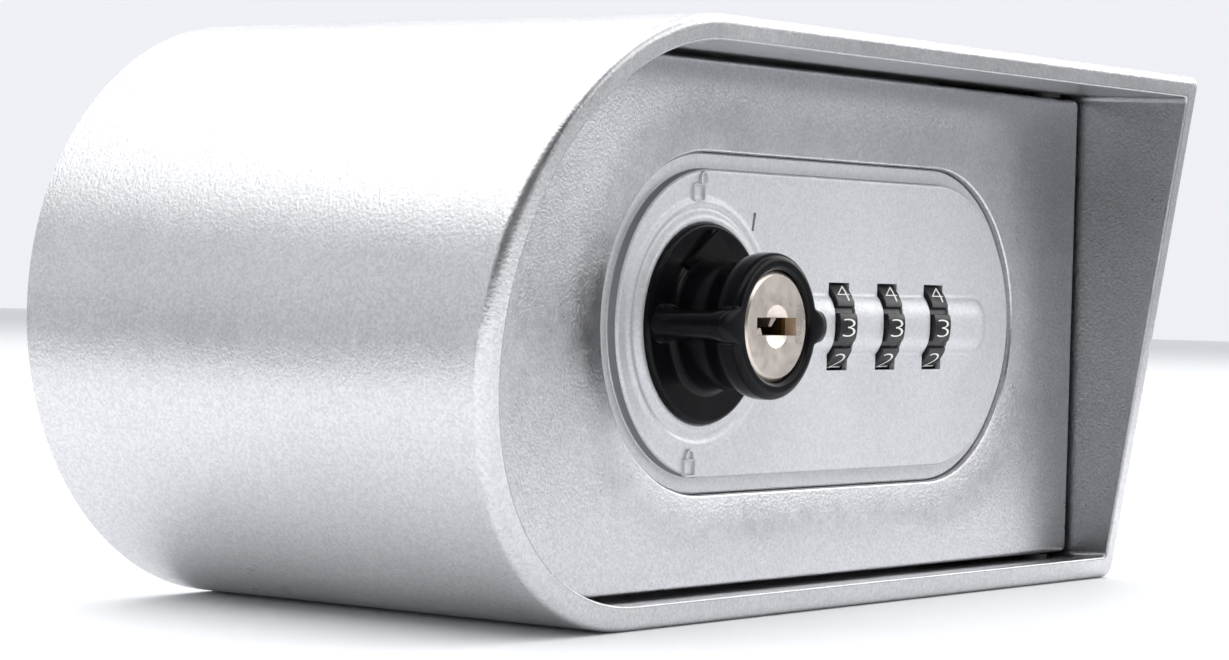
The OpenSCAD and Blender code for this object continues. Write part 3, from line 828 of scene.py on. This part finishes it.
def build_plug():
    dimple = [(DIMPLE_R * k / 10, -PLUG_FACE + 0.5 * (1 - (k / 10) ** 2))
              for k in range(11)]
    profile = dimple + [(PLUG_R - 0.55, -PLUG_FACE), (PLUG_R, -PLUG_FACE + 0.5),
                        (PLUG_R, -PLUG_HEAD_BACK), (BARREL_R, -PLUG_HEAD_BACK),
                        (BARREL_R, -PLUG_BACK), (0, -PLUG_BACK)]
    obj = piece("plug_core", [turned(KNOB_X, MID_Z, profile, 128)],
                MATERIALS["plug_nickel"])
    carve(obj, block(KNOB_X - KEYWAY_W / 2, KNOB_X + KEYWAY_W / 2, -14, -2,
                     MID_Z - KEYWAY_H / 2, MID_Z + KEYWAY_H / 2))
    paint(obj, KEY_WALL, lambda x, y, z: abs(x - KNOB_X - KEYWAY_W / 2) < 0.05)
    fit(smooth(obj, 12), "plug", "plug_nickel", "key_plug")
    low = MID_Z - KEYWAY_H / 2
    high = MID_Z + KEYWAY_H / 2
    wards = []
    for tip, foot, z0, z1 in ((-0.4, 1.6, high, MID_Z - 0.1), (-2.9, -1.7, low, MID_Z - 0.2)):
        outline = [(KNOB_X + tip, z1), (KNOB_X + tip + 0.7, z1), (KNOB_X + foot, z0),
                   (KNOB_X + foot - 1.4, z0)]
        wards.append(slab(outline, -8.6, -11.7, 0.12))
    fit(smooth(piece("plug_wards", wards, MATERIALS["plug_nickel"]), 30), "plug",
        "plug_nickel")
    # A dark plate over the deep part of the keyway's right wall: painted shade, not a real part of the lock.
    edge = KNOB_X + KEYWAY_W / 2
    shade_plate = block(edge - 0.8, edge - 0.02, -11, -3, low + 0.02, high - 0.02)
    fit(smooth(piece("plug_shade_plate", [shade_plate], WAFER_BRASS_PAINTED_SHADE)), "plug", "brass")


# --- the dial wheels -------------------------------------------------------------

def wheel_profile(shrink):
    """The outline of a wheel: pads with sloping grooves between them."""
    points = []
    pitch = math.tau / DIGITS
    pad_half = PAD_HEIGHT / 2 / WHEEL_R
    for k in range(DIGITS):
        middle = k * pitch + math.radians(WHEEL_REST)
        groove = pitch / 2
        steps = [(-pad_half + 2 * pad_half * i / 8, WHEEL_R) for i in range(9)]
        steps[0] = (-pad_half, WHEEL_R - PAD_ROUND)
        steps[8] = (pad_half, WHEEL_R - PAD_ROUND)
        steps.append((mix(pad_half, groove, 0.35), WHEEL_R - GROOVE_DEPTH))
        steps.append((groove, WHEEL_R - GROOVE_DEPTH - 0.05))
        steps.append((mix(groove, 2 * groove - pad_half, 0.65), WHEEL_R - GROOVE_DEPTH))
        for a, r in steps:
            points.append((middle + a, r - shrink))
    return points


def digit_mesh(value):
    """The outline of one digit as vertices and faces, centred, in the font's units."""
    curve = bpy.data.curves.new("digit", "FONT")
    curve.body = str(value)
    curve.resolution_u = 6
    curve.offset = DIGIT_THIN
    holder = bpy.data.objects.new("digit", curve)
    bpy.context.scene.collection.objects.link(holder)
    bpy.context.view_layer.update()
    depsgraph = bpy.context.evaluated_depsgraph_get()
    mesh = bpy.data.meshes.new_from_object(holder.evaluated_get(depsgraph))
    bpy.data.objects.remove(holder)
    return mesh


def digit_scale():
    """Scales that bring the font's digits to the printed width and height."""
    mesh = digit_mesh(FIRST_DIGIT)
    xs = [v.co.x for v in mesh.vertices]
    ys = [v.co.y for v in mesh.vertices]
    return DIGIT_W / (max(xs) - min(xs)), DIGIT_H / (max(ys) - min(ys))


def digit_part(value, turn, axis, scale):
    """One digit printed on the pad at an angle above the front of the wheel."""
    bm = bmesh.new()
    bm.from_mesh(digit_mesh(value))
    xs = [v.co.x for v in bm.verts]
    ys = [v.co.y for v in bm.verts]
    middle_x = (max(xs) + min(xs)) / 2
    middle_y = (max(ys) + min(ys)) / 2
    width = min(scale[0], DIGIT_W / (max(xs) - min(xs)))
    for v in bm.verts:
        v.co.x = (v.co.x - middle_x) * width
        v.co.y = (v.co.y - middle_y) * scale[1]
    for k in range(-4, 5):
        everything = bm.verts[:] + bm.edges[:] + bm.faces[:]
        bmesh.ops.bisect_plane(bm, geom=everything, plane_co=(0, k * DIGIT_BAND, 0),
                               plane_no=(0, 1, 0))
    radius = WHEEL_R + PRINT_LIFT
    verts = []
    for v in bm.verts:
        a = turn + v.co.y / WHEEL_R
        verts.append((axis.x + v.co.x, axis.y - radius * math.cos(a),
                      axis.z + radius * math.sin(a)))
    bm.verts.index_update()
    faces = [tuple(v.index for v in f.verts) for f in bm.faces]
    bm.free()
    return verts, faces


def build_wheels():
    scale = digit_scale()
    edge = 0.3
    bore = PIN_BORE_R
    for i, axis in enumerate(WHEELS, 1):
        x0 = axis.x - WHEEL_W / 2
        x1 = axis.x + WHEEL_W / 2
        rings = []
        for x, shrink in ((x0, edge), (x0 + 0.1, edge * 0.3), (x0 + edge, 0),
                          (x1 - edge, 0), (x1 - 0.1, edge * 0.3), (x1, edge)):
            rings.append([(x, axis.y - r * math.cos(a), axis.z + r * math.sin(a))
                          for a, r in wheel_profile(shrink)])
        for x in (x1, x0):
            rings.append([(x, axis.y - bore * math.cos(a), axis.z + bore * math.sin(a))
                          for a, r in wheel_profile(0)])
        name = "wheel_%d" % i
        drum_piece = piece(name + "_drum", [loft(rings, closed=True)],
                           MATERIALS["wheel_black"])
        fit(smooth(drum_piece, 25), name, "wheel_black", name)
        parts = []
        for k in range(DIGITS):
            value = (FIRST_DIGIT + k) % DIGITS
            turn = k * math.tau / DIGITS + math.radians(WHEEL_REST)
            parts.append(digit_part(value, turn, axis, scale))
        fit(piece(name + "_digits", parts, DIGIT_PAINT), name, "wheel_black")


build_shell()
build_door()
build_panel()
build_marks()
build_knob()
build_plug()
build_wheels()

# --- finishes on the CAD nodes ---------------------------------------------------

for part in frame["record"]["subparts"]:
    obj = frame["nodes"][part["node"]]
    obj.data.materials.clear()
    obj.data.materials.append(MATERIALS[part["material_slot"]])
# The wafers get the darkened brass as painted shade inside the keyway.
wafers = frame["nodes"]["plug_wafers"]
wafers.data.materials[0] = WAFER_BRASS_PAINTED_SHADE


# --- floor, light and camera -----------------------------------------------------

# Places and sizes are in metres here. Cards stand for the dark studio round the box.

WORLD_LEVEL = 0.27
BACKDROP_R = 2.6
BACKDROP_H = 1.0
CARD_Z = 0.001


def stage_mesh(name, verts, faces, material):
    mesh = bpy.data.meshes.new(name)
    mesh.from_pydata(verts, [], faces)
    mesh.materials.append(material)
    obj = bpy.data.objects.new(name, mesh)
    bpy.context.scene.collection.objects.link(obj)
    return obj


def gloss_card(name, verts, material):
    """A card that only reflections see, so that the floor stays plain in every view."""
    card = stage_mesh(name, verts, [tuple(range(len(verts)))], material)
    card.visible_camera = False
    card.visible_shadow = False
    card.visible_diffuse = False


def area_light(name, place_m, aim, size, power):
    """A softbox: its place, the point that it faces and its sides in metres, and watts."""
    light = bpy.data.lights.new(name, "AREA")
    light.shape = "RECTANGLE"
    light.size, light.size_y = size
    light.energy = power
    obj = bpy.data.objects.new(name, light)
    bpy.context.scene.collection.objects.link(obj)
    obj.location = place_m
    direction = Vector(aim) - Vector(place_m)
    obj.rotation_euler = direction.to_track_quat("-Z", "Y").to_euler()
    return obj


FLOOR = surface("floor_paper", (0.86, 0.87, 0.88), roughness=0.6, grain=300.0,
                relief=0.01, tone=0.01, vary=0.03)
stage_mesh("floor", [(-4, -4, 0), (4, -4, 0), (4, 4, 0), (-4, 4, 0)], [(0, 1, 2, 3)],
           FLOOR)

world = bpy.data.worlds.new("studio")
bpy.context.scene.world = world
world.use_nodes = True
background = world.node_tree.nodes["Background"]
background.inputs["Color"].default_value = (0.9, 0.93, 1.0, 1)
background.inputs["Strength"].default_value = WORLD_LEVEL
bpy.context.scene.view_settings.view_transform = "Standard"

backdrop, _, _, drop_shader = node_tree("backdrop_paper")
drop_shader.inputs["Base Color"].default_value = (0, 0, 0, 1)
drop_shader.inputs["Emission Color"].default_value = (0.83, 0.845, 0.885, 1)
drop_shader.inputs["Emission Strength"].default_value = 1.0
wall = [(BACKDROP_R * math.cos(math.radians(a)), BACKDROP_R * math.sin(math.radians(a)))
        for a in range(-15, 170, 5)]
verts = [(x, y, z) for z in (-0.01, BACKDROP_H) for x, y in wall]
faces = [(k, k + 1, len(wall) + k + 1, len(wall) + k) for k in range(len(wall) - 1)]
stage_mesh("backdrop", verts, faces, backdrop)

dark_card, _, _, dark_shader = node_tree("dark_card")
dark_shader.inputs["Base Color"].default_value = (0.02, 0.02, 0.022, 1)
dark_shader.inputs["Roughness"].default_value = 0.9
gloss_card("dark_flag", [(-1.1, 0.1, 0.0), (0.1, -1.1, 0.0), (0.1, -1.1, 0.7),
                         (-1.1, 0.1, 0.7)], dark_card)
grey_card, _, _, grey_shader = node_tree("grey_card")
grey_shader.inputs["Base Color"].default_value = (0.24, 0.24, 0.25, 1)
grey_shader.inputs["Roughness"].default_value = 0.9
gloss_card("front_card", [(0.17, -0.12, CARD_Z), (2.0, 0.3, CARD_Z), (2.0, -2.2, CARD_Z),
                          (-0.3, -2.2, CARD_Z), (-0.1, -0.5, CARD_Z)], grey_card)
gloss_card("left_card", [(-0.17, 0.06, CARD_Z), (-2.0, 0.06, CARD_Z),
                         (-2.0, 2.0, CARD_Z), (-0.6, 2.0, CARD_Z)], grey_card)
left_low = area_light("left_low", (-1.0, 0.3, 0.3), (-0.05, 0, 0), (0.8, 0.4), 2.4)
left_low.visible_glossy = False
area_light("overhead", (-0.3, 0.0, 1.0), (-0.1, 0, 0.03), (2.4, 1.9), 28)
area_light("front_fill", (1.04, -0.77, 0.5), (0, 0, 0.04), (1.5, 0.66), 5)
area_light("overhead_right", (1.5, -0.3, 1.0), (0.6, 0, 0), (1.1, 1.7), 12)
area_light("top_back", (1.1, 0.9, 1.0), (0, 0, 0.06), (1.4, 0.6), 4)

CAMERA_PLACE = (-0.4045, -0.29195, 0.0467)
CAMERA_YAW = 0.638323
CAMERA_PITCH = -0.016875
CAMERA_ROLL = 0.027384
CAMERA_LENS = 100.55


def make_camera():
    ahead = Vector((math.cos(CAMERA_YAW) * math.cos(CAMERA_PITCH),
                    math.sin(CAMERA_YAW) * math.cos(CAMERA_PITCH),
                    math.sin(CAMERA_PITCH)))
    right = Vector((math.sin(CAMERA_YAW), -math.cos(CAMERA_YAW), 0))
    up = right.cross(ahead)
    turned_right = right * math.cos(CAMERA_ROLL) + up * math.sin(CAMERA_ROLL)
    turned_up_axis = up * math.cos(CAMERA_ROLL) - right * math.sin(CAMERA_ROLL)
    data = bpy.data.cameras.new("camera")
    data.sensor_width = 36
    data.sensor_fit = "HORIZONTAL"
    data.lens = CAMERA_LENS
    data.clip_start = 0.01
    camera = bpy.data.objects.new("camera", data)
    bpy.context.scene.collection.objects.link(camera)
    axes = Matrix((turned_right, turned_up_axis, -ahead)).transposed()
    camera.matrix_world = Matrix.Translation(CAMERA_PLACE) @ axes.to_4x4()
    bpy.context.scene.camera = camera


make_camera()
